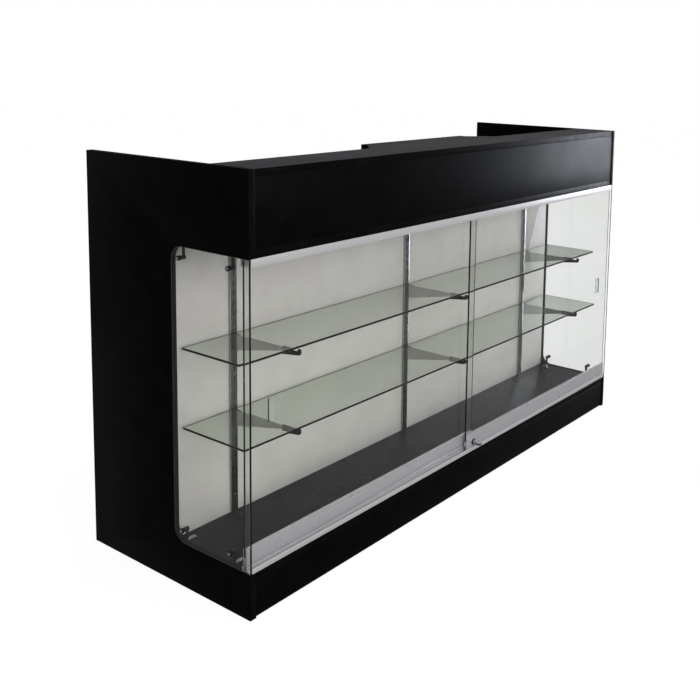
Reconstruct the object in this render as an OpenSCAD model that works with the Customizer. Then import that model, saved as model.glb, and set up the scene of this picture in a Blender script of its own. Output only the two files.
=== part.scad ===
/* [Overall size] */
// Length of the counter over the end panels
counter_l = 1829; // [1500:1:2100]
// Depth of the counter, front to back
counter_d = 610; // [560:1:700]
// Height of the end panels and of the ledge
counter_h = 1067; // [1000:1:1200]
// Height of the black base, up to the showcase deck
base_h = 114; // [90:1:140]
// Thickness of the laminated boards
board_t = 19; // [16:1:22]
// Gap between the base panels and the floor
base_gap = 4; // [3:1:15]

/* [Ledge and worktop] */
// Height of the ledge box over the showcase
ledge_h = 204; // [180:1:240]
// Depth of the ledge
ledge_d = 150; // [120:1:200]
// Drop from the ledge to the worktop behind it
worktop_drop = 102; // [80:1:120]
// Width of the wide middle of the ledge
platform_w = 500; // [300:1:700]
// How far the wide middle reaches behind the ledge
platform_d = 98; // [40:1:140]
// Leg of the slanted corners beside the wide middle
platform_corner = 75; // [20:1:90]
// How far the front boards sit behind the end panels' front edges
front_setback = 1; // [0:0.5:3]

/* [Showcase] */
// Depth of the showcase opening, front to back
case_d = 275; // [250:1:300]
// Radius of the rear corners of the end cut-outs
cut_r = 38; // [20:1:60]
// Thickness of every glass pane
glass_t = 6; // [5:0.5:8]
// Depth of the upper glass shelf
upper_shelf_d = 205; // [150:1:215]
// Depth of the lower glass shelf
lower_shelf_d = 218; // [180:1:218]
// Height of the lower shelf's underside above the deck
lower_shelf_h = 281; // [220:1:320]
// Number of standard slots from the lower shelf to the upper one
shelf_steps = 8; // [6:1:9]
// Gap between a shelf's end and the counter's outer face
shelf_end_gap = 26; // [20:1:60]

/* [Doors and tracks] */
// Distance between the two door channels
track_pitch = 15; // [15:0.5:18]
// Thickness of the track walls
track_wall = 1.5; // [1.2:0.1:2]
// Height of the lower track
lower_track_h = 12; // [10:1:15]
// Height of the upper track
upper_track_h = 20; // [16:1:24]
// Thickness of the track floor
track_floor = 2; // [1.5:0.5:3]
// Width of a door's bottom rail
rail_w = 11; // [10:0.5:12]
// Height of the top of the rails above the deck
rail_top = 56; // [50:1:65]
// Depth of the glass in its rail
glass_in_rail = 22; // [15:1:24]
// How far the two doors overlap at the middle
door_overlap = 46; // [30:1:70]
// Gap between a closed door and the end glass
door_end_gap = 2; // [1:0.5:5]

/* [Lock and pulls] */
// Distance of the lock from the middle of the counter
lock_x = 14; // [10:1:18]
// Height of the lock's axis above the deck
lock_z = 26; // [24:1:28]
// Diameter of the lock's fixed sleeve
lock_d = 15.6; // [14:0.2:17]
// Length of the fixed sleeve in front of the rail
lock_sleeve = 18; // [16:1:24]
// Length of the plunger in front of the sleeve
lock_reach = 11; // [9:1:14]
// Push stroke of the plunger
lock_stroke = 9; // [5:0.5:9]
// Width of a finger pull
pull_w = 23; // [18:1:30]
// Height of a finger pull
pull_h = 57; // [40:1:70]
// Height of a finger pull's lower end above the deck
pull_z = 346; // [250:1:450]
// Distance of a finger pull from the counter's outer face
pull_inset = 76; // [50:1:120]

/* [Standards and brackets] */
// Distance of the outer standards from the middle
standard_x = 720; // [600:1:740]
// Width of a slotted standard
standard_w = 22; // [16:1:26]
// Depth of a slotted standard
standard_d = 8; // [7:0.5:12]
// Sheet thickness of the standards
standard_t = 1.5; // [1:0.1:2]
// Height of one slot
slot_h = 12; // [12:0.5:14]
// Spacing of the slots
slot_pitch = 25.4; // [24:0.1:28]
// Sheet thickness of the shelf brackets
bracket_t = 2.6; // [2:0.1:3.5]
// Depth of a bracket at its standard
bracket_root = 44; // [40:1:60]
// Depth of a bracket at its knee
bracket_waist = 12; // [10:1:16]
// Distance of the knee behind the bracket's tip
bracket_knee = 72; // [65:1:90]
// Depth of a bracket at its tip
bracket_nose = 5; // [4:0.5:8]
// Rise of the upturned tip over the bracket's top edge
nose_rise = 7.5; // [5:0.5:10]
// Reach of the brackets in front of the showcase back
bracket_reach = 243; // [240:1:243]

/* [End glass clips] */
// Height of a clip's screw above the deck or below the header
clip_h = 30; // [24:1:36]
// Distance of the front clips behind the counter's front
clip_front = 72; // [60:1:100]
// Distance of the rear clips in front of the cut-out's rear edge
clip_rear = 28; // [24:1:50]
// Length of a clip's foot on the deck
clip_foot = 28; // [14:1:40]

/* [Rear storage] */
// Height of the storage shelves above the deck
store_shelf_z = 406; // [342:32:534]
// How far the storage shelves stop short of the rear edge
store_shelf_set = 52; // [30:1:90]
// Height of the rail under the rear edge of the worktop
rear_rail_h = 60; // [40:1:80]
// How far the rear base panel sits under the deck
toe_kick = 60; // [40:1:90]

/* [Hidden] */
$fn = 48;
eps = 0.5;

// Places shared by the boards
side_x = counter_l / 2;
inner_x = side_x - board_t;
front_y = -counter_d / 2;
rear_y = counter_d / 2;
board_front_y = front_y + front_setback;
header_z = counter_h - ledge_h;
ledge_back_y = front_y + ledge_d;
worktop_z = counter_h - worktop_drop;
case_back_y = front_y + case_d;
store_y = case_back_y + board_t;
rear_setback = 1;

// Panes and doors
glass_gap = 1;
pane_inner_x = side_x - glass_t;
door_end_x = pane_inner_x - door_end_gap;
meet_x = door_overlap / 2;
track_y0 = front_y + 0.5;
front_door_y = track_y0 + track_wall / 2 + track_pitch / 2;
rear_door_y = front_door_y + track_pitch;
track_end_x = pane_inner_x - glass_gap;
rail_bottom_z = base_h + track_floor + 3;
rail_top_z = base_h + rail_top;
glass_bottom_z = rail_top_z - glass_in_rail;
glass_slot = 0.2;
door_top_z = header_z - track_floor - 5;
glide_play = 0.3;

// Lock, all on one axis along Y
lock_axis_z = base_h + lock_z;
rail_face_y = front_door_y - rail_w / 2;
lock_pin_d = 5;
lock_bore_d = 8;
plunger_d = lock_d - 3.2;
lock_play = 0.1;
keeper_gap = 0.5;

// Shelves and brackets
standard_front_y = case_back_y - standard_d;
shelf_back_y = standard_front_y - 2;
cushion_t = 2;
lower_shelf_z = base_h + lower_shelf_h;
upper_shelf_z = lower_shelf_z + shelf_steps * slot_pitch;
shelf_x = side_x - shelf_end_gap;
standard_gap = 2;
slot_w = bracket_t + 1.2;
slot_count = floor((header_z - base_h - 60) / slot_pitch);
bracket_tip_y = case_back_y - bracket_reach;
tooth_drop = 14;
slot_phase = (lower_shelf_z - cushion_t - tooth_drop - base_h) % slot_pitch;
tooth_h = slot_h - 4;

// Storage shelf pins on a 32 mm row
pin_d = 5;
pin_depth = 8;
pin_row_pitch = 32;
store_shelf_y0 = store_y + 2;
store_shelf_y1 = rear_y - store_shelf_set;
pin_ys = [store_y + 40, store_shelf_y1 - 40];

// Boards' joint hardware
cam_d = 15;
cam_h = 12;
cam_in = 34;
cam_bolt_d = 7;
cam_bolt_in = 11;
fit = 0.1;

function pins_z() = [for (k = [-2:2]) base_h + store_shelf_z + k * pin_row_pitch];
// Cam spots: depth place, underside of the board, and 1 where the disc enters from below
deck_cams = [for (y = [front_y + 70, 0, rear_y - 110]) [y, base_h - board_t, 1]];
header_cams = [for (y = [front_y + 60, case_back_y - 50]) [y, header_z, 0]];
worktop_cams = [for (y = [ledge_back_y + 60, rear_y - 70]) [y, worktop_z - board_t, 1]];
all_cams = concat(deck_cams, header_cams, worktop_cams);

module block(x0, x1, y0, y1, z0, z1) {
    translate([x0, y0, z0])
        cube([x1 - x0, y1 - y0, z1 - z0]);
}

// Draws a side outline, given as depth and height, as a plate of one thickness
module side_plate(x0, t) {
    translate([x0, 0, 0])
        rotate([90, 0, 90])
            linear_extrude(t)
                children();
}

module rod_x(x0, x1, y, z, d) {
    translate([x0, y, z])
        rotate([0, 90, 0])
            cylinder(h = x1 - x0, d = d);
}

module rod_y(y0, y1, x, z, d) {
    translate([x, y0, z])
        rotate([-90, 0, 0])
            cylinder(h = y1 - y0, d = d);
}

// Showcase outline seen from the side, open to the front and round at the rear corners
module case_outline(gap, front) {
    r = cut_r - gap;
    z0 = base_h + gap;
    z1 = header_z - gap;
    y1 = case_back_y - gap;
    translate([front, z0])
        square([y1 - r - front, z1 - z0]);
    translate([front, z0 + r])
        square([y1 - front, z1 - z0 - 2 * r]);
    for (z = [z0 + r, z1 - r])
        translate([y1 - r, z])
            circle(r);
}

module cam_bolt_holes(side) {
    for (c = all_cams)
        rod_x(side * inner_x - cam_bolt_in, side * inner_x + cam_bolt_in, c[0],
            c[1] + board_t / 2, cam_bolt_d + fit);
}

module pin_holes(face_x) {
    for (y = pin_ys, z = pins_z())
        rod_x(face_x - pin_depth - 1, face_x + pin_depth + 1, y, z, pin_d + fit);
}

// One end panel: full height and depth, with the showcase opening cut from its front
module end_panel(side) {
    color([0.03, 0.03, 0.035])
        difference() {
            side_plate(side > 0 ? inner_x : -side_x, board_t)
                difference() {
                    translate([front_y, 0])
                        square([counter_d, counter_h]);
                    case_outline(0, front_y - 1);
                }
            cam_bolt_holes(side);
            pin_holes(side * inner_x);
        }
}

module left_end_panel() {
    end_panel(-1);
}

module right_end_panel() {
    end_panel(1);
}

// A board between the end panels, with its pockets for the cam fasteners
module tied_board(y0, y1, z0, cams) {
    difference() {
        block(-inner_x, inner_x, y0, y1, z0, z0 + board_t);
        for (c = cams, side = [-1, 1]) {
            x = side * (inner_x - cam_in);
            top = c[2] == 1 ? z0 - 1 : z0 + board_t - cam_h - fit;
            translate([x, c[0], top])
                cylinder(h = cam_h + fit + 1, d = cam_d + 2 * fit);
            rod_x(min(x, side * inner_x) - (side < 0 ? 1 : 0), max(x, side * inner_x) + (side > 0 ? 1 : 0),
                c[0], z0 + board_t / 2, cam_bolt_d + 2 * fit);
        }
    }
}

module deck_board() {
    color([0.13, 0.13, 0.15])
        tied_board(board_front_y, rear_y - rear_setback, base_h - board_t, deck_cams);
}

module base_front_panel() {
    color([0.03, 0.03, 0.035])
        block(-inner_x, inner_x, board_front_y, board_front_y + board_t, base_gap, base_h - board_t);
}

module base_rear_panel() {
    y1 = rear_y - toe_kick;
    color([0.03, 0.03, 0.035])
        block(-inner_x, inner_x, y1 - board_t, y1, base_gap, base_h - board_t);
}

// Stands on the floor under the middle of the deck
module base_centre_rib() {
    color([0.03, 0.03, 0.035])
        block(-board_t / 2, board_t / 2, board_front_y + board_t, rear_y - toe_kick - board_t,
            0, base_h - board_t);
}

module showcase_back_panel() {
    color([0.68, 0.67, 0.65])
        difference() {
            block(-inner_x, inner_x, case_back_y, store_y, base_h, header_z + board_t);
            for (x = [-standard_x, 0, standard_x], z = standard_screw_zs())
                rod_y(case_back_y - 1, case_back_y + 12, x, z, 3.6);
        }
}

module header_board() {
    color([0.05, 0.05, 0.055])
        tied_board(board_front_y, case_back_y, header_z, header_cams);
}

module fascia_panel() {
    color([0.05, 0.05, 0.055])
        block(-inner_x, inner_x, board_front_y, board_front_y + board_t,
            header_z + board_t, counter_h - board_t);
}

// The ledge, with its wide middle and the slanted corners beside it
module ledge_top() {
    back = ledge_back_y;
    wide = back + platform_d;
    half = platform_w / 2;
    straight = max(platform_d - platform_corner, 0);
    leg = platform_d - straight;
    color([0.12, 0.12, 0.13])
        translate([0, 0, counter_h - board_t])
            linear_extrude(board_t)
                polygon([
                    [-inner_x, board_front_y],
                    [inner_x, board_front_y],
                    [inner_x, back],
                    [half + leg, back],
                    [half, back + leg],
                    [half, wide],
                    [-half, wide],
                    [-half, back + leg],
                    [-half - leg, back],
                    [-inner_x, back],
                ]);
}

module ledge_back_panel() {
    color([0.05, 0.05, 0.055])
        block(-inner_x, inner_x, ledge_back_y - board_t, ledge_back_y,
            header_z + board_t, counter_h - board_t);
}

module worktop() {
    color([0.12, 0.12, 0.13])
        tied_board(ledge_back_y, rear_y - rear_setback, worktop_z - board_t, worktop_cams);
}

// Upright between the two storage bays, from the deck to the worktop
module rear_partition() {
    color([0.05, 0.05, 0.055])
        difference() {
            block(-board_t / 2, board_t / 2, store_y, rear_y - rear_setback - board_t,
                base_h, worktop_z - board_t);
            for (side = [-1, 1])
                for (y = pin_ys, z = pins_z())
                    rod_x(side > 0 ? board_t / 2 - pin_depth : -board_t / 2 - 1,
                        side > 0 ? board_t / 2 + 1 : -board_t / 2 + pin_depth, y, z, pin_d + fit);
        }
}

module rear_top_rail() {
    color([0.05, 0.05, 0.055])
        block(-inner_x, inner_x, rear_y - rear_setback - board_t, rear_y - rear_setback,
            worktop_z - board_t - rear_rail_h, worktop_z - board_t);
}

// One loose storage shelf, lying on four pins
module storage_shelf(side) {
    play = 1.5;
    x0 = board_t / 2 + play;
    x1 = inner_x - play;
    z = base_h + store_shelf_z + pin_d / 2 + glide_play;
    color([0.05, 0.05, 0.055])
        block(side > 0 ? x0 : -x1, side > 0 ? x1 : -x0, store_shelf_y0, store_shelf_y1,
            z, z + board_t);
}

module left_storage_shelf() {
    storage_shelf(-1);
}

module right_storage_shelf() {
    storage_shelf(1);
}

// Pins with a collar against the board, two for each end of a shelf
module shelf_pins() {
    color([0.75, 0.75, 0.77])
        for (y = pin_ys, side = [-1, 1]) {
            z = base_h + store_shelf_z;
            for (face = [side * inner_x, side * board_t / 2]) {
                out = face == side * inner_x ? -side : side;
                rod_x(min(face - out * (pin_depth - 0.5), face + out * 9),
                    max(face - out * (pin_depth - 0.5), face + out * 9), y, z, pin_d);
                difference() {
                    rod_x(min(face, face + out * 1.2), max(face, face + out * 1.2), y, z, 9);
                    block(-side_x, side_x, y - 9, y + 9, z + pin_d / 2, z + 9);
                }
            }
        }
}

module cam_discs() {
    color([0.7, 0.7, 0.72])
        for (c = all_cams, side = [-1, 1]) {
            z = c[2] == 1 ? c[1] : c[1] + board_t - cam_h;
            x = side * (inner_x - cam_in);
            difference() {
                translate([x, c[0], z])
                    cylinder(h = cam_h, d = cam_d);
                block(x - 5, x + 5, c[0] - 1, c[0] + 1, c[2] == 1 ? z - 1 : z + cam_h - 2,
                    c[2] == 1 ? z + 2 : z + cam_h + 1);
                block(x - 1, x + 1, c[0] - 5, c[0] + 5, c[2] == 1 ? z - 1 : z + cam_h - 2,
                    c[2] == 1 ? z + 2 : z + cam_h + 1);
            }
        }
}

module cam_bolts() {
    color([0.7, 0.7, 0.72])
        for (c = all_cams, side = [-1, 1]) {
            near = inner_x - cam_in + cam_d / 2 + 0.3;
            far = inner_x + cam_bolt_in - 0.5;
            rod_x(side > 0 ? near : -far, side > 0 ? far : -near, c[0], c[1] + board_t / 2, cam_bolt_d);
        }
}

// Cross-section of a two-channel track, from its floor, walls pointing up
module track_section(h) {
    width = 2 * track_pitch + track_wall;
    square([width, track_floor]);
    for (k = [0:2])
        translate([k * track_pitch, 0])
            square([track_wall, h]);
}

module lower_track() {
    color([0.72, 0.72, 0.74])
        side_plate(-track_end_x, 2 * track_end_x)
            translate([track_y0, base_h])
                track_section(lower_track_h);
}

module upper_track() {
    color([0.75, 0.75, 0.77])
        side_plate(-track_end_x, 2 * track_end_x)
            translate([track_y0, header_z])
                mirror([0, 1])
                    track_section(upper_track_h);
}

// A door's ends: the left door closes to the left, the right door to the right
function door_x0(side) = side < 0 ? -door_end_x : -meet_x;
function door_x1(side) = side < 0 ? meet_x : door_end_x;
function door_y(side) = side < 0 ? rear_door_y : front_door_y;

module door_glass(side) {
    y = door_y(side);
    color([0.75, 0.85, 0.8, 0.35])
        block(door_x0(side), door_x1(side), y - glass_t / 2, y + glass_t / 2,
            glass_bottom_z, door_top_z);
}

module left_door_glass() {
    door_glass(-1);
}

module right_door_glass() {
    door_glass(1);
}

// Bottom rail: a slot on top for the glass, a channel below for the glides, a bead on its top edge
module door_rail(side) {
    y = door_y(side);
    slot = glass_t + 2 * glass_slot;
    channel = rail_w - 5;
    channel_h = 16;
    side_plate(door_x0(side), door_x1(side) - door_x0(side))
        difference() {
            translate([y - rail_w / 2, rail_bottom_z])
                square([rail_w, rail_top_z - rail_bottom_z]);
            translate([y - slot / 2, glass_bottom_z - 0.2])
                square([slot, glass_in_rail + 1]);
            translate([y - channel / 2, rail_bottom_z - 1])
                square([channel, channel_h + 1]);
            for (s = [-1, 1])
                translate([y + s * rail_w / 2 - 0.4, rail_top_z - 5])
                    square([0.8, 1.6]);
        }
}

// The keeper hole faces the lock when both doors are shut
module left_door_rail() {
    y = door_y(-1) - rail_w / 2;
    color([0.72, 0.72, 0.74])
        difference() {
            door_rail(-1);
            rod_y(y - 1, y + 2.2, lock_x, lock_axis_z, lock_pin_d + 1);
        }
}

module right_door_rail() {
    color([0.72, 0.72, 0.74])
        difference() {
            door_rail(1);
            rod_y(rail_face_y - 1, rail_face_y + rail_w + 1, lock_x, lock_axis_z, lock_bore_d + fit);
        }
}

function end_spots(side) = [door_x0(side) + 60, door_x1(side) - 60];

// Nylon glides in the rail's channel, running on the floor of the track
module door_glides(side) {
    y = door_y(side);
    w = rail_w - 5 - 0.4;
    color([0.9, 0.9, 0.88])
        for (x = end_spots(side))
            block(x - 25, x + 25, y - w / 2, y + w / 2, base_h + track_floor + glide_play,
                rail_bottom_z + 15.8);
}

module left_door_glides() {
    door_glides(-1);
}

module right_door_glides() {
    door_glides(1);
}

// Nylon guides over the top edge of the glass, inside the upper track
module door_guides(side) {
    y = door_y(side);
    w = track_pitch - track_wall - 1.5;
    color([0.9, 0.9, 0.88])
        for (x = end_spots(side))
            difference() {
                block(x - 20, x + 20, y - w / 2, y + w / 2, door_top_z - 12, door_top_z + 3);
                block(x - 21, x + 21, y - glass_t / 2 - glass_slot, y + glass_t / 2 + glass_slot,
                    door_top_z - 13, door_top_z + 0.2);
            }
}

module left_door_guides() {
    door_guides(-1);
}

module right_door_guides() {
    door_guides(1);
}

// Finger pull bonded to the front of a door: a thin plate with a lip along its outer edge
module finger_pull(side) {
    y = door_y(side) - glass_t / 2;
    x0 = side < 0 ? -side_x + pull_inset : side_x - pull_inset - pull_w;
    z0 = base_h + pull_z;
    lip = 1.6;
    color([0.82, 0.84, 0.84])
        union() {
            block(x0, x0 + pull_w, y - 1.2, y, z0, z0 + pull_h);
            block(side < 0 ? x0 : x0 + pull_w - lip, side < 0 ? x0 + lip : x0 + pull_w,
                y - 4, y, z0, z0 + pull_h);
            block(x0, x0 + pull_w, y - 4, y, z0 + pull_h - lip, z0 + pull_h);
        }
}

module left_finger_pull() {
    finger_pull(-1);
}

module right_finger_pull() {
    finger_pull(1);
}

// Black ring between the lock's sleeve and the rail
module lock_ring() {
    color([0.05, 0.05, 0.05])
        difference() {
            rod_y(rail_face_y - 2, rail_face_y, lock_x, lock_axis_z, lock_d + 3.4);
            rod_y(rail_face_y - 3, rail_face_y + 1, lock_x, lock_axis_z, lock_bore_d + fit);
        }
}

// Fixed sleeve: a neck through the rail and a tube in front of it that guides the plunger
module lock_sleeve_body() {
    floor_y = rail_face_y - 3.5;
    color([0.85, 0.85, 0.87])
        difference() {
            union() {
                rod_y(rail_face_y - lock_sleeve, rail_face_y - 2, lock_x, lock_axis_z, lock_d);
                rod_y(rail_face_y - 3, rail_face_y + rail_w - 0.5, lock_x, lock_axis_z, lock_bore_d);
            }
            rod_y(rail_face_y - lock_sleeve - 1, floor_y, lock_x, lock_axis_z, plunger_d + lock_play);
            rod_y(floor_y - 1, rail_face_y + rail_w + 1, lock_x, lock_axis_z, lock_pin_d + lock_play);
        }
}

// Push plunger: a head with a bore for the key plug, and the bolt pin behind it
module lock_plunger() {
    face_y = rail_face_y - lock_sleeve - lock_reach;
    shoulder_y = rail_face_y - 3.5 - lock_stroke - 0.5;
    pin_end_y = rear_door_y - rail_w / 2 - keeper_gap - lock_stroke;
    color([0.88, 0.88, 0.9])
        difference() {
            union() {
                rod_y(face_y, shoulder_y, lock_x, lock_axis_z, plunger_d);
                rod_y(shoulder_y - 1, pin_end_y, lock_x, lock_axis_z, lock_pin_d);
            }
            rod_y(face_y - 1, face_y + 10, lock_x, lock_axis_z, 8);
        }
}

// Key plug with its keyway
module lock_key_plug() {
    face_y = rail_face_y - lock_sleeve - lock_reach;
    color([0.8, 0.8, 0.82])
        difference() {
            rod_y(face_y + 0.3, face_y + 9.7, lock_x, lock_axis_z, 8 - lock_play);
            block(lock_x - 0.6, lock_x + 0.6, face_y - 1, face_y + 8,
                lock_axis_z - 2.6, lock_axis_z + 2.6);
        }
}

// Screw places of one end pane, as depth and height
function clip_spots() = [
    for (y = [front_y + clip_front, case_back_y - clip_rear], z = [base_h + clip_h, header_z - clip_h])
        [y, z]
];
clip_hole_d = 6;
clip_screw_d = 4;
clip_post_t = 3;
clip_boss_d = 11;

// End pane, level with the outer face, its outline following the cut-out
module end_glass(side) {
    color([0.75, 0.85, 0.8, 0.35])
        difference() {
            side_plate(side > 0 ? pane_inner_x : -side_x, glass_t)
                case_outline(glass_gap / 2, front_y + 0.5);
            for (s = clip_spots())
                rod_x(side * side_x - glass_t - 1, side * side_x + glass_t + 1, s[0], s[1], clip_hole_d);
        }
}

module left_end_glass() {
    end_glass(-1);
}

module right_end_glass() {
    end_glass(1);
}

washer_t = 1;

// Clips inside the end pane: a foot and a post against the boards, a boss out to the pane
module glass_clips(side) {
    tip = pane_inner_x - washer_t;
    post = inner_x - clip_post_t;
    color([0.06, 0.06, 0.06])
        for (s = clip_spots()) {
            low = s[1] < counter_h / 2;
            root = low ? base_h : header_z;
            difference() {
                union() {
                    block(side > 0 ? post : -inner_x, side > 0 ? inner_x : -post, s[0] - 4,
                        s[0] + 4, low ? root : s[1], low ? s[1] : root);
                    block(side > 0 ? inner_x - clip_foot : -inner_x, side > 0 ? inner_x : -inner_x + clip_foot,
                        s[0] - 6, s[0] + 6, low ? root : root - 2, low ? root + 2 : root);
                    rod_x(side > 0 ? post - 2 : -tip, side > 0 ? tip : -post + 2,
                        s[0], s[1], clip_boss_d);
                }
                rod_x(side * inner_x - 30, side * inner_x + 30, s[0], s[1], clip_screw_d + fit);
            }
        }
}

module left_glass_clips() {
    glass_clips(-1);
}

module right_glass_clips() {
    glass_clips(1);
}

// Round-headed screws through the end pane into the clips
module clip_screws(side) {
    head = 2.2;
    inner = inner_x - clip_post_t - 4;
    color([0.8, 0.8, 0.82])
        for (s = clip_spots()) {
            rod_x(side > 0 ? inner : -side_x - washer_t, side > 0 ? side_x + washer_t : -inner,
                s[0], s[1], clip_screw_d);
            rod_x(side > 0 ? side_x + washer_t : -side_x - washer_t - head,
                side > 0 ? side_x + washer_t + head : -side_x - washer_t, s[0], s[1], 9);
        }
}

module left_clip_screws() {
    clip_screws(-1);
}

module right_clip_screws() {
    clip_screws(1);
}

// Black washers on both faces of the end panes
module clip_washers() {
    color([0.05, 0.05, 0.05])
        for (side = [-1, 1], s = clip_spots(), face = [pane_inner_x - washer_t, side_x])
            difference() {
                rod_x(side > 0 ? face : -face - washer_t, side > 0 ? face + washer_t : -face,
                    s[0], s[1], 13);
                rod_x(-side_x - 9, side_x + 9, s[0], s[1], clip_screw_d + 2 * fit);
            }
}

function standard_screw_zs() = [
    for (part = [0.06, 0.5, 0.94])
        base_h + slot_phase
            + (round(((header_z - base_h) * part - slot_phase) / slot_pitch - 0.5) + 0.5) * slot_pitch
];

// Slotted upright: a channel open to the back panel, with a slot at every step
module standard(x) {
    z0 = base_h + standard_gap;
    z1 = header_z - standard_gap;
    color([0.8, 0.8, 0.82])
        difference() {
            block(x - standard_w / 2, x + standard_w / 2, standard_front_y, case_back_y, z0, z1);
            block(x - standard_w / 2 + standard_t, x + standard_w / 2 - standard_t,
                standard_front_y + standard_t, case_back_y + 1, z0 - 1, z1 + 1);
            for (k = [1:slot_count]) {
                z = base_h + slot_phase + k * slot_pitch;
                block(x - slot_w / 2, x + slot_w / 2, standard_front_y - 1,
                    standard_front_y + standard_t + 1, z - slot_h / 2, z + slot_h / 2);
            }
            for (z = standard_screw_zs())
                rod_y(standard_front_y - 1, case_back_y + 1, x, z, 3.6);
        }
}

module standard_left() {
    standard(-standard_x);
}

module standard_centre() {
    standard(0);
}

module standard_right() {
    standard(standard_x);
}

module standard_screws() {
    color([0.7, 0.7, 0.72])
        for (x = [-standard_x, 0, standard_x], z = standard_screw_zs()) {
            rod_y(standard_front_y - 1.6, standard_front_y, x, z, 7);
            rod_y(standard_front_y - 1, case_back_y + 11, x, z, 3.4);
        }
}

// Outline of a bracket in front of its knee, with its upturned tip, grown by a clearance
function blade_front(top, grow) = [
    [bracket_tip_y + bracket_knee, top - bracket_waist - grow],
    [bracket_tip_y + 6, top - bracket_nose - grow],
    [bracket_tip_y + 2 - grow, top - bracket_nose + 2],
    [bracket_tip_y + 2 - grow, top + nose_rise - 2],
    [bracket_tip_y + 4, top + nose_rise + grow],
    [bracket_tip_y + 7, top + nose_rise + grow],
    [bracket_tip_y + 9 + grow, top + grow],
];

// Tapered bracket: a straight top edge, an upturned tip and two hooks in the slots
module bracket(x, shelf_z) {
    top = shelf_z - cushion_t;
    first = top - tooth_drop;
    y_web = standard_front_y + standard_t;
    color([0.6, 0.6, 0.6])
        union() {
            side_plate(x - bracket_t / 2, bracket_t)
                polygon(concat([
                    [standard_front_y - 0.3, top],
                    [standard_front_y - 0.3, top - bracket_root],
                ], blade_front(top, 0)));
            for (z = [first, first - slot_pitch])
                side_plate(x - bracket_t / 2, bracket_t)
                    polygon([
                        [standard_front_y - 1, z + tooth_h / 2],
                        [standard_front_y - 1, z - tooth_h / 2],
                        [y_web + 0.3, z - tooth_h / 2],
                        [y_web + 0.3, z - tooth_h / 2 - 3],
                        [y_web + 3, z - tooth_h / 2 - 3],
                        [y_web + 3, z + tooth_h / 2 - 2],
                        [y_web + 1, z + tooth_h / 2],
                    ]);
        }
}

module bracket_upper_left() {
    bracket(-standard_x, upper_shelf_z);
}

module bracket_upper_centre() {
    bracket(0, upper_shelf_z);
}

module bracket_upper_right() {
    bracket(standard_x, upper_shelf_z);
}

module bracket_lower_left() {
    bracket(-standard_x, lower_shelf_z);
}

module bracket_lower_centre() {
    bracket(0, lower_shelf_z);
}

module bracket_lower_right() {
    bracket(standard_x, lower_shelf_z);
}

// Rubber boots over the bracket tips, and a rubber pad near each standard
module bracket_cushions() {
    boot_l = 62;
    boot_w = bracket_t + 3.6;
    wall = 1.6;
    color([0.04, 0.04, 0.04])
        for (x = [-standard_x, 0, standard_x], shelf_z = [lower_shelf_z, upper_shelf_z]) {
            top = shelf_z - cushion_t;
            difference() {
                side_plate(x - boot_w / 2, boot_w)
                    polygon([
                        [bracket_tip_y + boot_l, shelf_z],
                        [bracket_tip_y + boot_l, top - bracket_waist - wall],
                        [bracket_tip_y + 5, top - bracket_nose - wall],
                        [bracket_tip_y + 1, top - bracket_nose + 1],
                        [bracket_tip_y, top],
                        [bracket_tip_y, top + nose_rise - 1],
                        [bracket_tip_y + 3, top + nose_rise + wall],
                        [bracket_tip_y + 8, top + nose_rise + wall],
                        [bracket_tip_y + 11, shelf_z],
                    ]);
                side_plate(x - bracket_t / 2 - fit / 2, bracket_t + fit)
                    polygon(concat([[bracket_tip_y + bracket_knee, top + fit]], blade_front(top, fit)));
            }
            block(x - boot_w / 2, x + boot_w / 2, shelf_back_y - 24, shelf_back_y - 4, top, shelf_z);
        }
}

// Loose glass shelf on the three brackets of its level
module glass_shelf(shelf_z, depth) {
    color([0.7, 0.85, 0.78, 0.4])
        block(-shelf_x, shelf_x, shelf_back_y - depth, shelf_back_y, shelf_z, shelf_z + glass_t);
}

module upper_shelf_glass() {
    glass_shelf(upper_shelf_z, upper_shelf_d);
}

module lower_shelf_glass() {
    glass_shelf(lower_shelf_z, lower_shelf_d);
}

left_end_panel();
right_end_panel();
deck_board();
base_front_panel();
base_rear_panel();
base_centre_rib();
showcase_back_panel();
header_board();
fascia_panel();
ledge_top();
ledge_back_panel();
worktop();
rear_partition();
rear_top_rail();
left_storage_shelf();
right_storage_shelf();
shelf_pins();
cam_discs();
cam_bolts();
lower_track();
upper_track();
left_door_glass();
right_door_glass();
left_door_rail();
right_door_rail();
left_door_glides();
right_door_glides();
left_door_guides();
right_door_guides();
left_finger_pull();
right_finger_pull();
lock_ring();
lock_sleeve_body();
lock_plunger();
lock_key_plug();
left_end_glass();
right_end_glass();
left_glass_clips();
right_glass_clips();
left_clip_screws();
right_clip_screws();
clip_washers();
standard_left();
standard_centre();
standard_right();
standard_screws();
bracket_upper_left();
bracket_upper_centre();
bracket_upper_right();
bracket_lower_left();
bracket_lower_centre();
bracket_lower_right();
bracket_cushions();
upper_shelf_glass();
lower_shelf_glass();
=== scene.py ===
import math

import bmesh
import bpy
from mathutils import Matrix, Vector


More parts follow.
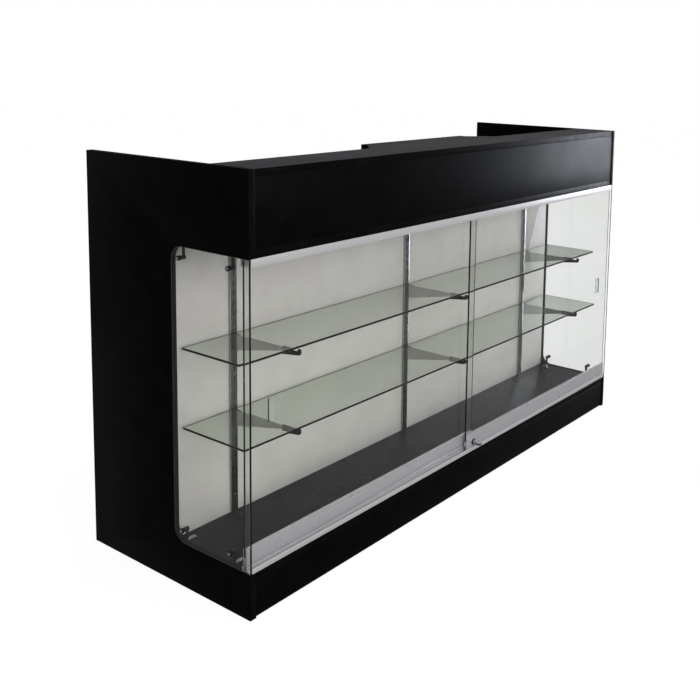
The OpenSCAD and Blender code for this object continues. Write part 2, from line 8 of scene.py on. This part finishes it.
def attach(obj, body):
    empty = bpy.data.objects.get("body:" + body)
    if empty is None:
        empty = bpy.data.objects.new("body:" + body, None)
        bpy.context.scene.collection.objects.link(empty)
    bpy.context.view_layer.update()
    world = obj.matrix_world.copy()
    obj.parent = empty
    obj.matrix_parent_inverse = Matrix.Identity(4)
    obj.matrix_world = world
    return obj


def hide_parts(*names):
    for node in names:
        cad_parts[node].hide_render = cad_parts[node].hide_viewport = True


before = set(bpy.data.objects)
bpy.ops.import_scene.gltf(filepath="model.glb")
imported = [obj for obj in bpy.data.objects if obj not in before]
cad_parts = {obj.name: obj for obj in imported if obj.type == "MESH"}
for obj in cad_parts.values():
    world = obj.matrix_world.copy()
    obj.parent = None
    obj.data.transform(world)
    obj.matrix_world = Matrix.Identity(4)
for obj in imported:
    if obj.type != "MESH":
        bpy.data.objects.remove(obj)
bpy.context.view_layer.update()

scene = bpy.context.scene
scene.view_settings.view_transform = "Standard"

# ---- Camera ----
# It stands a little higher than the ledge, off the counter's left front corner, and looks
# slightly down along the doors.
camera = bpy.data.objects.new("camera", bpy.data.cameras.new("camera"))
scene.collection.objects.link(camera)
camera.location = (-2.332, -1.855, 1.310)
camera.rotation_euler = [math.radians(turn) for turn in (82.86, -1.13, -53.4)]
camera.data.sensor_width = 36
camera.data.lens = 48.47
camera.data.shift_x = -0.117
camera.data.shift_y = -0.243
scene.camera = camera

# ---- End panels ----
# 19 mm chipboard faced with black laminate, with a black PVC band round its edges. Each stands
# on the floor, full height and full depth, and has the showcase's opening sawn into its front.


def linear(code):
    """Turns an sRGB hex colour into the linear values that a shader takes."""
    parts = [int(code[i : i + 2], 16) / 255 for i in (1, 3, 5)]
    straight = [p / 12.92 if p <= 0.04045 else ((p + 0.055) / 1.055) ** 2.4 for p in parts]
    return (*straight, 1.0)


def add(tree, kind, inputs=None, **settings):
    """Adds one node, sets its options, and gives each of its inputs a value or a link."""
    made = tree.nodes.new(kind)
    for name, value in settings.items():
        setattr(made, name, value)
    for name, value in (inputs or {}).items():
        if isinstance(value, bpy.types.NodeSocket):
            tree.links.new(value, made.inputs[name])
        else:
            made.inputs[name].default_value = value
    return made


def finish_named(name, **values):
    """Starts a material: its tree, its shader with plain values, and its object coordinates."""
    made = bpy.data.materials.new(name)
    made.use_nodes = True
    tree = made.node_tree
    tree.nodes.clear()
    sockets = {key.replace("_", " "): value for key, value in values.items()}
    shader = add(tree, "ShaderNodeBsdfPrincipled", sockets)
    out = add(tree, "ShaderNodeOutputMaterial", {"Surface": shader.outputs[0]})
    place = add(tree, "ShaderNodeTexCoord").outputs["Object"]
    return made, tree, shader, place, out


def grain(tree, place, size_mm, detail=2.0, stretch=(1, 1, 1), kind="ShaderNodeTexNoise"):
    """A pattern whose marks are size_mm across, stretched along any axis."""
    spread = add(tree, "ShaderNodeMapping", {"Vector": place, "Scale": [1 / s for s in stretch]})
    inputs = {"Vector": spread.outputs[0], "Scale": 1000 / size_mm}
    if kind == "ShaderNodeTexNoise":
        inputs["Detail"] = detail
    return add(tree, kind, inputs)


def worn(tree, shader, pattern, smooth, rough):
    """Leaves a surface shinier where a pattern is low and duller where it is high."""
    inputs = {"Value": pattern, "From Min": 0.3, "From Max": 0.7, "To Min": smooth, "To Max": rough}
    wear = add(tree, "ShaderNodeMapRange", inputs)
    tree.links.new(wear.outputs[0], shader.inputs["Roughness"])


def stained(tree, shader, pattern, first, second):
    """Gives a surface two tones of its colour, mixed by a pattern."""
    ramp = add(tree, "ShaderNodeValToRGB", {"Fac": pattern})
    ramp.color_ramp.elements[0].position = 0.35
    ramp.color_ramp.elements[1].position = 0.65
    ramp.color_ramp.elements[0].color = linear(first)
    ramp.color_ramp.elements[1].color = linear(second)
    tree.links.new(ramp.outputs[0], shader.inputs["Base Color"])


def bumped(tree, shader, height, depth_mm):
    """Presses a pattern into the surface to a depth in millimetres."""
    inputs = {"Height": height, "Distance": depth_mm / 1000, "Strength": 1.0}
    bump = add(tree, "ShaderNodeBump", inputs)
    tree.links.new(bump.outputs[0], shader.inputs["Normal"])


def laminate(name, first, second, smooth, rough, level, pebble_mm=1.4, press_mm=0.03):
    """Melamine laminate: printed paper pressed in resin against a finely pebbled steel plate.
    The pebble breaks up what it mirrors, and handling leaves it a little shinier in patches."""
    made, tree, shader, place, _ = finish_named(name, Specular_IOR_Level=level)
    mottle = grain(tree, place, 60, 3).outputs[0]
    stained(tree, shader, mottle, first, second)
    patches = grain(tree, place, 180, 4).outputs[0]
    worn(tree, shader, patches, smooth, rough)
    bumped(tree, shader, grain(tree, place, pebble_mm, 1).outputs[0], press_mm)
    return made


black_laminate = laminate("black_pressed_laminate", "#020203", "#050506", 0.34, 0.44, 0.09)
# PVC band, extruded and buffed after trimming: smoother than the faces, with a slight draw.
pvc_band, tree, shader, place, _ = finish_named("black_pvc_band_extruded", Specular_IOR_Level=0.05)
drawn = grain(tree, place, 0.8, 1, (40, 40, 40)).outputs[0]
stained(tree, shader, drawn, "#060607", "#0a0a0b")
buffing = grain(tree, place, 12, 2).outputs[0]
worn(tree, shader, buffing, 0.3, 0.45)


def merged_copy(node):
    """A clean copy of a CAD node's mesh: doubles merged and flat faces joined."""
    shape = bmesh.new()
    shape.from_mesh(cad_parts[node].data)
    bmesh.ops.remove_doubles(shape, verts=shape.verts, dist=1e-6)
    flat = math.radians(0.5)
    bmesh.ops.dissolve_limit(
        shape, angle_limit=flat, verts=shape.verts, edges=shape.edges, delimit={"NORMAL"}
    )
    return shape


def eased(shape, arris, shortest=0.004, segments=2):
    """Rounds the edges that a cutter or a hand would break, by arris metres."""
    sharpest_curve = math.radians(40)
    sharp = [
        e
        for e in shape.edges
        if len(e.link_faces) == 2
        and e.calc_length() > shortest
        and e.calc_face_angle(0) > sharpest_curve
    ]
    bmesh.ops.bevel(
        shape,
        geom=sharp,
        offset=arris,
        offset_type="OFFSET",
        segments=segments,
        profile=0.5,
        affect="EDGES",
        material=-1,
        clamp_overlap=True,
    )


def piece(name, shape, materials, body, nodes, smooth=35):
    """Puts a finished shape on a body, in place of the CAD nodes that it stands for."""
    mesh = bpy.data.meshes.new(name)
    shape.to_mesh(mesh)
    shape.free()
    for each in materials:
        mesh.materials.append(each)
    mesh.shade_smooth()
    mesh.set_sharp_from_angle(angle=math.radians(smooth))
    made = bpy.data.objects.new(name, mesh)
    scene.collection.objects.link(made)
    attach(made, body)
    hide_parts(*nodes)


def board(node, thin_axis, faces, band):
    """A laminated board: laminate on its two faces, band on its edges, all edges eased."""
    trimmed_arris = 0.0007
    shape = merged_copy(node)
    for face in shape.faces:
        face.material_index = 0 if abs(face.normal[thin_axis]) > 0.5 else 1
    eased(shape, trimmed_arris)
    piece(node.replace("_", "-"), shape, [faces, band], "counter", [node])


for side in ("left", "right"):
    board(side + "_end_panel", 0, black_laminate, pvc_band)

# ---- Base and showcase deck ----
# The deck is a dark grey laminated board between the end panels. Black boards stand under its
# front and rear edges, clear of the floor, and a rib under its middle reaches the floor.
# Its pebble is far finer than 6 mm; it is drawn this coarse and shallow so as to show at all.
deck_laminate = laminate(
    "charcoal_pressed_laminate", "#13141a", "#17181f", 0.24, 0.32, 0.24, pebble_mm=6, press_mm=0.004
)
board("deck_board", 2, deck_laminate, pvc_band)
board("base_front_panel", 1, black_laminate, pvc_band)
board("base_rear_panel", 1, black_laminate, pvc_band)
board("base_centre_rib", 0, black_laminate, pvc_band)

# ---- Showcase back and header ----
# The back is a warm grey laminated board, screwed up against the deck and the header board.
# The header closes the showcase on top and carries the upper track.
back_laminate = laminate("warm_grey_pressed_laminate", "#d3cecb", "#d9d5d2", 0.4, 0.52, 0.3)
board("showcase_back_panel", 1, back_laminate, pvc_band)
board("header_board", 2, black_laminate, pvc_band)

# ---- Ledge box and worktop ----
# A hollow box of black boards over the showcase, its top wider in the middle for writing on.
# The worktop lies lower behind it, between the end panels.
top_laminate = laminate("slate_pressed_laminate", "#26262a", "#2d2d31", 0.34, 0.46, 0.5)
board("fascia_panel", 1, black_laminate, pvc_band)
board("ledge_back_panel", 1, black_laminate, pvc_band)
board("ledge_top", 2, top_laminate, pvc_band)
board("worktop", 2, top_laminate, pvc_band)

# ---- Storage behind the showcase ----
# Black laminated boards: a partition, a stiffening rail under the worktop, and two loose
# shelves that lie on nickel plated pins. Cam discs and bolts draw the boards together.
board("rear_partition", 0, black_laminate, pvc_band)
board("rear_top_rail", 1, black_laminate, pvc_band)
for side in ("left", "right"):
    board(side + "_storage_shelf", 2, black_laminate, pvc_band)
# Nickel plating on turned steel: bright, with the faint rings of the tool.
nickel, tree, shader, place, _ = finish_named("nickel_plated_turned_steel", Metallic=1.0)
rings = grain(tree, place, 0.6, 2).outputs[0]
stained(tree, shader, rings, "#b8b7b3", "#cbcac7")
handled = grain(tree, place, 3, 2).outputs[0]
worn(tree, shader, handled, 0.16, 0.3)


def plated(node, arris, segments=2, metal=nickel, body="counter"):
    """Small turned or pressed metal parts with their rims broken."""
    shape = merged_copy(node)
    eased(shape, arris, 0, segments)
    piece(node.replace("_", "-"), shape, [metal], body, [node])


plated("shelf_pins", 0.0003)
plated("cam_discs", 0.0003)
plated("cam_bolts", 0.0004)

# ---- Door tracks ----
# Extruded aluminium, satin anodised, with three thin walls each. The lower one lies on the deck
# and the upper one hangs under the header.


def anodised(name, first, second, smooth, rough):
    """Anodised aluminium extrusion: dull silver, with fine lines along it from the die."""
    made, tree, shader, place, _ = finish_named(name, Metallic=0.45)
    lines = grain(tree, place, 1.8, 2, (300, 1, 1)).outputs[0]
    stained(tree, shader, lines, first, second)
    dull = grain(tree, place, 45, 3).outputs[0]
    worn(tree, shader, dull, smooth, rough)
    return made


track_aluminium = anodised("satin_anodised_track", "#c6c5c7", "#d0cfd1", 0.3, 0.4)
for node in ("lower_track", "upper_track"):
    shape = merged_copy(node)
    eased(shape, 0.0003, 0.001)
    piece(node.replace("_", "-"), shape, [track_aluminium], "counter", [node])

# ---- Doors ----
# Each door is a 6 mm clear glass pane with ground edges, set in an aluminium rail that runs on
# nylon glides. Nylon guides on its top edge keep it in the upper track.


def clear_glass(name, tint):
    """Float glass: it mirrors a little, and lets lamps through as well as the eye."""
    made, tree, shader, place, out = finish_named(
        name, Base_Color=linear(tint), Roughness=0.0, IOR=1.52, Transmission_Weight=1.0
    )
    path = add(tree, "ShaderNodeLightPath")
    open_way = add(tree, "ShaderNodeBsdfTransparent", {"Color": linear(tint)})
    mix = add(tree, "ShaderNodeMixShader", {0: path.outputs["Is Shadow Ray"]})
    tree.links.new(shader.outputs[0], mix.inputs[1])
    tree.links.new(open_way.outputs[0], mix.inputs[2])
    tree.links.new(mix.outputs[0], out.inputs["Surface"])
    return made


def edge_in_painted_shade(name, first, second):
    """A ground and polished glass edge, with the fine cross lines of the wheel. Its near-black
    green is painted shade, standing in for the light lost on the long way through the glass."""
    made, tree, shader, place, _ = finish_named(name, Specular_IOR_Level=0.12)
    lines = grain(tree, place, 2.5, 2).outputs[0]
    stained(tree, shader, lines, first, second)
    worn(tree, shader, lines, 0.16, 0.3)
    return made


door_pane = clear_glass("clear_float_glass_6mm", "#fdfefd")
# The door panes' edges are painted near-black: painted shade.
door_edge = edge_in_painted_shade("ground_door_glass_edge", "#030504", "#060a08")
# The seamed arris: a fine frosted bevel along every edge of a pane. Its pale grey is partly the
# frost's own colour and partly a painted highlight line.
arris_highlight, tree, shader, place, _ = finish_named("seamed_glass_arris", Specular_IOR_Level=0.5)
frost = grain(tree, place, 1.5, 2).outputs[0]
stained(tree, shader, frost, "#59605d", "#69706d")
worn(tree, shader, frost, 0.3, 0.45)


def pane(node, thin_axis, clear, edge, body):
    """A glass pane: clear faces, ground edges, and a fine bevel between them."""
    flat_on, leaning = 0.9, 0.4
    shape = merged_copy(node)
    for face in shape.faces:
        face.material_index = 0 if abs(face.normal[thin_axis]) > flat_on else 1
    eased(shape, 0.0005, 0.0035, 1)
    shape.normal_update()
    # The leaning bevel faces take the arris, with its painted highlight.
    for face in shape.faces:
        if leaning < abs(face.normal[thin_axis]) < flat_on:
            face.material_index = 2
    piece(node.replace("_", "-"), shape, [clear, edge, arris_highlight], body, [node], 20)


rail_aluminium = anodised("satin_anodised_rail", "#b2b2b5", "#bcbcbf", 0.26, 0.36)
# Moulded nylon: milky, waxy and slightly dimpled.
nylon, tree, shader, place, _ = finish_named(
    "moulded_nylon", Subsurface_Weight=0.15, Subsurface_Scale=0.002
)
dimples = grain(tree, place, 1.2, 2).outputs[0]
stained(tree, shader, dimples, "#d9d7cf", "#e4e2da")
worn(tree, shader, dimples, 0.38, 0.5)
bumped(tree, shader, dimples, 0.02)

# A rail's top is painted a little brighter than its face: a painted highlight where light from
# above falls on it.
rail_top_highlight = anodised("rail_top_painted_highlight", "#dcdcdf", "#e6e6e8", 0.18, 0.26)
highlight_depth = 0.002
for side in ("left", "right"):
    door = side + "_door"
    pane(door + "_glass", 1, door_pane, door_edge, door)
    shape = merged_copy(door + "_rail")
    eased(shape, 0.0003, 0.001)
    shape.normal_update()
    top = max(v.co.z for v in shape.verts)
    # The upward faces along the very top take the painted highlight.
    for face in shape.faces:
        if face.normal.z > 0.5 and face.calc_center_median().z > top - highlight_depth:
            face.material_index = 1
    finishes = [rail_aluminium, rail_top_highlight]
    piece(side + "-door-rail", shape, finishes, door, [door + "_rail"])
    for kind in ("_glides", "_guides"):
        plated(door + kind, 0.0005, 2, nylon, door)

# ---- Finger pulls ----
# A small moulded pull of clear acrylic on each door's glass near its outer end. A thin film of
# clear adhesive keeps it off the pane, and its left-facing side is painted dark, as painted shade.
acrylic, tree, shader, place, out = finish_named("clear_moulded_acrylic", IOR=1.49)
haze = grain(tree, place, 4, 2).outputs[0]
stained(tree, shader, haze, "#c3c9c7", "#d0d6d4")
worn(tree, shader, haze, 0.08, 0.16)
see_through = add(tree, "ShaderNodeBsdfTransparent", {"Color": linear("#f4f7f6")})
inputs = {"Value": haze, "From Min": 0.3, "From Max": 0.7, "To Min": 0.8, "To Max": 0.88}
clarity = add(tree, "ShaderNodeMapRange", inputs).outputs[0]
mix = add(
    tree, "ShaderNodeMixShader", {0: clarity, 1: shader.outputs[0], 2: see_through.outputs[0]}
)
tree.links.new(mix.outputs[0], out.inputs["Surface"])
# The pull's dark side colour is painted shade.
pull_shaded_side = edge_in_painted_shade("acrylic_left_side_painted_shade", "#20272a", "#2a3235")
adhesive = 0.0002
back_face_depth = 0.0001
for side in ("left", "right"):
    pull = side + "_finger_pull"
    shape = merged_copy(pull)
    # Its left-facing faces take the painted shade.
    for face in shape.faces:
        face.material_index = 1 if face.normal.x < -0.5 else 0
    eased(shape, 0.0003, 0.001)
    bonded = max(v.co.y for v in shape.verts)
    for v in shape.verts:
        if v.co.y > bonded - back_face_depth:
            v.co.y -= adhesive
    piece(
        side + "-finger-pull", shape, [acrylic, pull_shaded_side], side + "_door", [pull]
    )

# ---- Lock ----
# A push lock screwed through the right door's rail: a chromed sleeve on a black ring, a plunger
# that slides in it, and a key plug in the plunger's face.
chrome, tree, shader, place, _ = finish_named("polished_chrome_plate", Metallic=1.0)
wipe = grain(tree, place, 1.5, 3).outputs[0]
stained(tree, shader, wipe, "#cfd0d4", "#dcdde1")
worn(tree, shader, wipe, 0.05, 0.12)
# Black moulded plastic, satin, from a spark-eroded mould.
black_plastic, tree, shader, place, _ = finish_named(
    "black_moulded_plastic", Specular_IOR_Level=0.35
)
spark = grain(tree, place, 0.7, 1).outputs[0]
stained(tree, shader, spark, "#0a0a0a", "#101011")
worn(tree, shader, spark, 0.35, 0.5)
bumped(tree, shader, spark, 0.015)
plated("lock_ring", 0.0006, 3, black_plastic, "right_door")
plated("lock_sleeve_body", 0.0008, 3, chrome, "right_door")
plated("lock_plunger", 0.0008, 3, chrome, "plunger")
plated("lock_key_plug", 0.0002, 2, chrome, "key_plug")

# ---- End panes ----
# 6 mm glass set into each end panel's opening, its rear corners rounded to match, with holes
# for the clip screws.
end_pane = clear_glass("clear_float_glass_end", "#fdfefd")
# The end panes' edges are painted near-black: painted shade.
end_edge = edge_in_painted_shade("ground_end_glass_edge", "#040605", "#080c0a")
for side in ("left", "right"):
    pane(side + "_end_glass", 0, end_pane, end_edge, "counter")

# ---- End pane clips ----
# Each pane is held by four black clips, two on the deck and two under the header. A chromed
# button screw goes through a washer, the glass and the clip's boss.
# The feet on the deck are nickel plated below this height.
foot_top = 0.1166
for side in ("left", "right"):
    clips = side + "_glass_clips"
    shape = merged_copy(clips)
    eased(shape, 0.0005, 0)
    for face in shape.faces:
        face.material_index = 1 if face.calc_center_median().z < foot_top else 0
    piece(
        side + "-glass-clips", shape, [black_plastic, nickel], "counter", [clips]
    )
    plated(side + "_clip_screws", 0.0009, 3, chrome)
# Black rubber: dull, with the grey bloom of an old moulding.
rubber, tree, shader, place, _ = finish_named("black_moulded_rubber", Specular_IOR_Level=0.3)
bloom = grain(tree, place, 5, 3).outputs[0]
stained(tree, shader, bloom, "#0a0a0a", "#141413")
worn(tree, shader, bloom, 0.55, 0.75)
bumped(tree, shader, grain(tree, place, 0.8, 1).outputs[0], 0.02)
plated("clip_washers", 0.0002, 2, rubber)

# ---- Slotted standards ----
# Roll-formed steel channels, bright plated, with a row of slots for the brackets' hooks. They
# are screwed to the front of the showcase's back.
bright, tree, shader, place, _ = finish_named("bright_plated_rolled_steel", Metallic=1.0)
rolled = grain(tree, place, 1.2, 2, (1, 1, 60)).outputs[0]
stained(tree, shader, rolled, "#a9a9ab", "#bcbcbe")
rubbed = grain(tree, place, 30, 3).outputs[0]
worn(tree, shader, rubbed, 0.12, 0.24)
bumped(tree, shader, rolled, 0.01)
for place_name in ("left", "centre", "right"):
    node = "standard_" + place_name
    shape = merged_copy(node)
    eased(shape, 0.0005, 0.02)
    piece(node.replace("_", "-"), shape, [bright], "counter", [node])
plated("standard_screws", 0.0006, 3)

# ---- Shelf brackets ----
# Pressed steel blades, zinc plated and passivated, hooked into the standards' slots, with black
# rubber boots on their tips.
zinc, tree, shader, place, _ = finish_named("zinc_plated_pressed_steel", Metallic=0.85)
spangle = grain(tree, place, 4, 2, kind="ShaderNodeTexVoronoi").outputs[0]
cloud = grain(tree, place, 18, 3).outputs[0]
stained(tree, shader, cloud, "#8f8f8c", "#a3a3a0")
worn(tree, shader, cloud, 0.34, 0.5)
bumped(tree, shader, spangle, 0.01)
for level in ("upper", "lower"):
    for place_name in ("left", "centre", "right"):
        plated(f"bracket_{level}_{place_name}", 0.0004, 2, zinc)
plated("bracket_cushions", 0.0009, 3, rubber)

# ---- Glass shelves ----
# Loose 6 mm panes of ordinary float glass, green in their depth, lying on the boots and pads.
shelf_pane = clear_glass("green_float_glass_shelf", "#edf3ea")
# The shelves' edges are painted near-black: painted shade.
shelf_edge = edge_in_painted_shade("ground_shelf_glass_edge", "#060c08", "#0a120d")
for level in ("upper", "lower"):
    pane(level + "_shelf_glass", 2, shelf_pane, shelf_edge, "counter")

# ---- Stage ----
# A pale floor and a white surround. Where the floor or the surround is looked at, mirrored or
# seen through glass, it shows close to white, and the floor still takes the counter's shadow.
shape = bmesh.new()
bmesh.ops.create_grid(shape, x_segments=4, y_segments=4, size=20)
mesh = bpy.data.meshes.new("floor")
shape.to_mesh(mesh)
shape.free()
floor = bpy.data.objects.new("floor", mesh)
scene.collection.objects.link(floor)
floor_paint, tree, shader, place, out = finish_named(
    "pale_matt_floor", Roughness=0.9, Specular_IOR_Level=0.1
)
dust = grain(tree, place, 900, 4).outputs[0]
stained(tree, shader, dust, "#e9e9e9", "#efefef")


def straight_look(tree):
    """1 for what the eye sees, straight or through glass, and 1 for what was mirrored."""
    kind = "ShaderNodeMath"
    first_bounce = 0.5
    path = add(tree, "ShaderNodeLightPath").outputs
    ways = {0: path["Is Camera Ray"], 1: path["Is Transmission Ray"]}
    seen = add(tree, kind, ways, operation="MAXIMUM").outputs[0]
    depths = {0: path["Glossy Depth"], 1: path["Diffuse Depth"]}
    turned = add(tree, kind, depths, operation="ADD").outputs[0]
    unturned = add(tree, kind, {0: turned, 1: first_bounce}, operation="LESS_THAN").outputs[0]
    look = add(tree, kind, {0: seen, 1: unturned}, operation="MULTIPLY").outputs[0]
    bounces = {0: path["Glossy Depth"], 1: first_bounce}
    mirrored = add(tree, kind, bounces, operation="GREATER_THAN").outputs[0]
    return look, mirrored


look, mirrored = straight_look(tree)
changed = add(tree, "ShaderNodeMath", {0: look, 1: mirrored}, operation="MAXIMUM").outputs[0]
glow_share = 0.88
share = add(tree, "ShaderNodeMath", {0: changed, 1: glow_share}, operation="MULTIPLY").outputs[0]
level = add(tree, "ShaderNodeMapRange", {"Value": look, "To Min": 0.1, "To Max": 1.05})
glow = add(tree, "ShaderNodeEmission", {"Color": (1, 1, 1, 1), "Strength": level.outputs[0]})
mix = add(tree, "ShaderNodeMixShader", {0: share, 1: shader.outputs[0], 2: glow.outputs[0]})
tree.links.new(mix.outputs[0], out.inputs["Surface"])
mesh.materials.append(floor_paint)

# The surround is white to the eye, gives a soft fill, and is dim in reflections so that black
# boards and glass stay deep.
world = bpy.data.worlds.new("white_surround")
scene.world = world
world.use_nodes = True
tree = world.node_tree
tree.nodes.clear()
look, mirrored = straight_look(tree)
fill = add(tree, "ShaderNodeMapRange", {"Value": mirrored, "To Min": 0.75, "To Max": 0.14})
inputs = {"Value": look, "To Min": fill.outputs[0], "To Max": 1.0}
strength = add(tree, "ShaderNodeMapRange", inputs).outputs[0]
surround = add(tree, "ShaderNodeBackground", {"Color": (1, 1, 1, 1), "Strength": strength})
add(tree, "ShaderNodeOutputWorld", {"Surface": surround.outputs[0]})


def softbox(name, at, towards, width, height, watts, colour=(1, 1, 1)):
    """A large diffused studio lamp."""
    lamp = bpy.data.objects.new(name, bpy.data.lights.new(name, "AREA"))
    scene.collection.objects.link(lamp)
    lamp.data.shape = "RECTANGLE"
    lamp.data.size, lamp.data.size_y = width, height
    lamp.data.energy = watts
    lamp.data.color = colour
    lamp.location = at
    lamp.rotation_euler = (Vector(towards) - Vector(at)).to_track_quat("-Z", "Y").to_euler()


softbox("overhead softbox", (0, -1.2, 3.6), (0, -0.1, 0.6), 3.5, 2.5, 55)
softbox("front softbox", (-1.2, -4.2, 1.6), (0, 0, 0.6), 3.0, 2.0, 45)
cool_white = (0.86, 0.9, 1.0)
softbox("right softbox", (5.3, -1.1, 1.0), (0.6, -0.3, 0.7), 1.9, 2.0, 60, cool_white)
